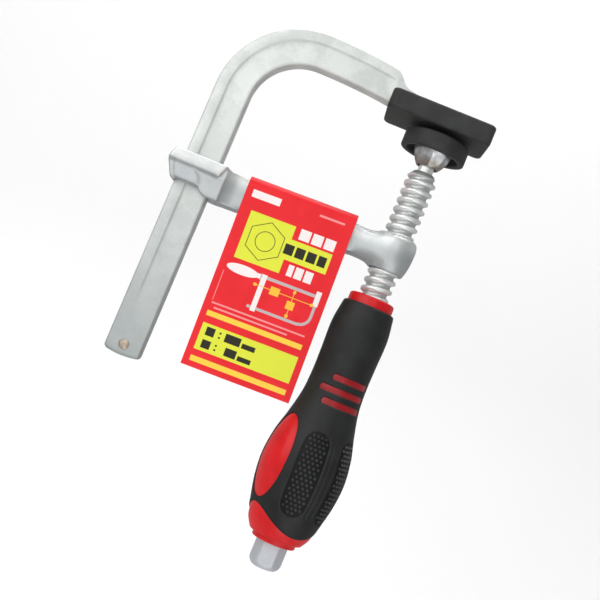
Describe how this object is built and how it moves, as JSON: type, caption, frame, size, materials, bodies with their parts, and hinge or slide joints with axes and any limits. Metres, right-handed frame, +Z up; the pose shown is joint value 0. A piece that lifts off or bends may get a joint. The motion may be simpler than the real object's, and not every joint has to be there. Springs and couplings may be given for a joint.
{
  "type": "f clamp",
  "caption": "F clamp with a bent flat bar, a sliding arm, a screw spindle with a swivel pad, a moulded two-colour handle and a printed card folded over the arm.",
  "frame": {"origin": "on the spindle's axis at the fixed jaw's clamping face", "axes": "+Z up along the spindle towards the fixed jaw, +X from the bar towards the spindle, +Y square to the bar's wide faces, away from the viewer's side"},
  "size_m": [0.121, 0.0366, 0.2152],
  "materials": {
    "bar_steel": "zinc plated, fine sandy satin",
    "arm_steel": "zinc plated forging, satin",
    "screw_steel": "bright zinc plated",
    "rivet_steel": "peened",
    "plain_steel": "plain",
    "seat_plastic": "natural nylon",
    "cap_rubber": "soft matt",
    "grip_rubber": "soft satin",
    "handle_red": "glossy",
    "card_print": "printed, semi-gloss"
  },
  "bodies": {
    "frame": {"frame_bar": "bar_steel", "fixed_jaw_foot": "plain_steel", "fixed_jaw_cap": "cap_rubber", "stop_rivet": "rivet_steel"},
    "arm": {"sliding_arm": "arm_steel"},
    "tag": {"tag_card": "card_print"},
    "screw_seat": {"ball_seat": "seat_plastic"},
    "screw": {"spindle": "screw_steel", "handle_core": "handle_red", "handle_grip": "grip_rubber", "handle_pin": "plain_steel"},
    "pad_ring": {"snap_ring": "plain_steel"},
    "pad": {"swivel_cup": "screw_steel", "pressure_disc": "plain_steel", "swivel_pad_cap": "cap_rubber"}
  },
  "joints": [
    {"name": "arm_slide", "type": "slide", "parent": "frame", "child": "arm", "axis": [0, 0, 1], "range_m": [-0.069, 0]},
    {"name": "tag_swing", "type": "hinge", "parent": "arm", "child": "tag", "pos_m": [-0.0422, 0, -0.0468], "axis": [0.9995, 0, 0.0332], "range_deg": [-4, 4]},
    {"name": "spindle_feed", "type": "slide", "parent": "arm", "child": "screw_seat", "axis": [0, 0, 1], "range_m": [-0.028, 0]},
    {"name": "spindle_turn", "type": "hinge", "parent": "screw_seat", "child": "screw", "pos_m": [0, 0, -0.0101], "axis": [0, 0, 1], "range_deg": [-2520, 0]},
    {"name": "pad_tilt_x", "type": "hinge", "parent": "screw_seat", "child": "pad_ring", "pos_m": [0, 0, -0.0101], "axis": [1, 0, 0], "range_deg": [-5, 5]},
    {"name": "pad_tilt_y", "type": "hinge", "parent": "pad_ring", "child": "pad", "pos_m": [0, 0, -0.0101], "axis": [0, 1, 0], "range_deg": [-5, 5]}
  ],
  "couplings": [
    {"joint": "spindle_feed", "follows": "spindle_turn", "m_per_rad": 0.00063662}
  ]
}
